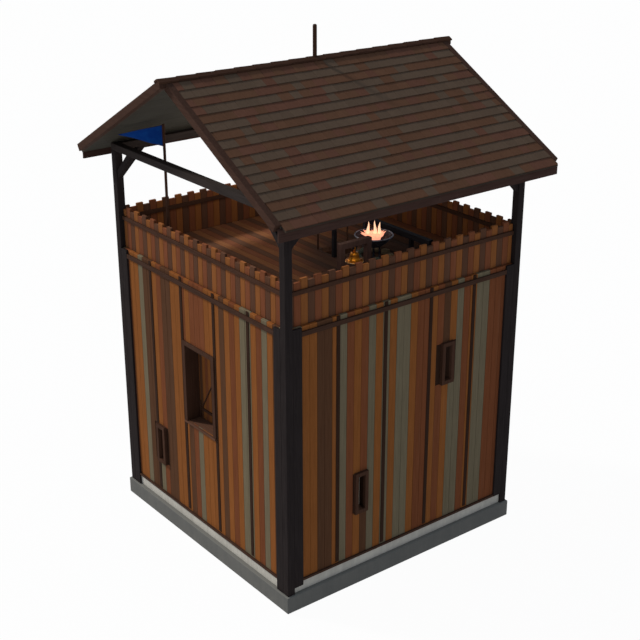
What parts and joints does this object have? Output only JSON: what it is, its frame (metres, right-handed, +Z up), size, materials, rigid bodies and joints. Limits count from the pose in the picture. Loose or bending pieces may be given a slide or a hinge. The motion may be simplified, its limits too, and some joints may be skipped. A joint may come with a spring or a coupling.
{
  "type": "wooden watchtower",
  "caption": "Square boarded watchtower on a concrete slab, with a crenellated lookout deck, open timber frame, shingled gable roof, bell, fire brazier and a blue pennant.",
  "frame": {"origin": "centre of the slab's underside, on the ground", "axes": "+Z up, -Y to the front gable with the window, +X to the right eave side, ridge along Y"},
  "size_m": [7.4, 7.61, 11.2743],
  "materials": {
    "concrete": "weathered grey concrete",
    "pale_stone": "smooth pale render",
    "dark_post": "charred, almost black timber",
    "wall_boards": "upright boards of mixed orange, red-brown and grey",
    "parapet_boards": "upright boards of mixed orange, red-brown and grey",
    "brown_trim": "dark brown stained timber",
    "sill_board": "red-brown timber",
    "deck_planks": "worn brown planks",
    "shingles": "brown and grey shingles in courses",
    "black_timber": "black stained timber",
    "pennant_cloth": "plain blue cloth",
    "black_iron": "blackened iron",
    "bronze": "golden bell bronze",
    "glow": "glowing coals and flames",
    "hearth_stone": "rough field stones"
  },
  "bodies": {
    "tower": {"foundation_slab": "concrete", "plinth_course": "pale_stone", "post_front_left": "dark_post", "post_front_right": "dark_post", "post_back_left": "dark_post", "post_back_right": "dark_post", "wall_front": "wall_boards", "wall_right": "wall_boards", "wall_back": "wall_boards", "wall_left": "wall_boards", "corner_studs": "dark_post", "wall_battens": "brown_trim", "wall_rails": "brown_trim", "window_frame": "brown_trim", "window_sill": "sill_board", "window_shutter": "wall_boards", "slit_frames": "brown_trim", "deck": "deck_planks", "parapet_front": "parapet_boards", "parapet_right": "parapet_boards", "parapet_back": "parapet_boards", "parapet_left": "parapet_boards", "parapet_outer_rails": "brown_trim", "parapet_inner_rails": "brown_trim", "hatch_guard": "black_timber", "ladder_stiles": "sill_board", "tie_beams": "dark_post", "eave_plates": "dark_post", "knee_braces": "dark_post", "roof_slope_left": "shingles", "roof_slope_right": "shingles", "ridge_cap": "shingles", "barge_boards": "brown_trim", "eave_fascias": "brown_trim", "roof_finial": "brown_trim", "pennant_pole": "brown_trim", "pennant": "pennant_cloth", "bell_frame": "brown_trim", "bell_bracket": "black_iron", "brazier_bowl": "black_iron", "brazier_legs": "black_iron", "brazier_fire": "glow", "hearth_stones": "hearth_stone", "bench": "black_timber"},
    "bell": {"bell": "bronze"}
  },
  "joints": [
    {"name": "bell_swing", "type": "hinge", "parent": "tower", "child": "bell", "pos_m": [1.935, -0.484, 7.058], "axis": [0, 1, 0], "range_deg": [-30, 30]}
  ]
}
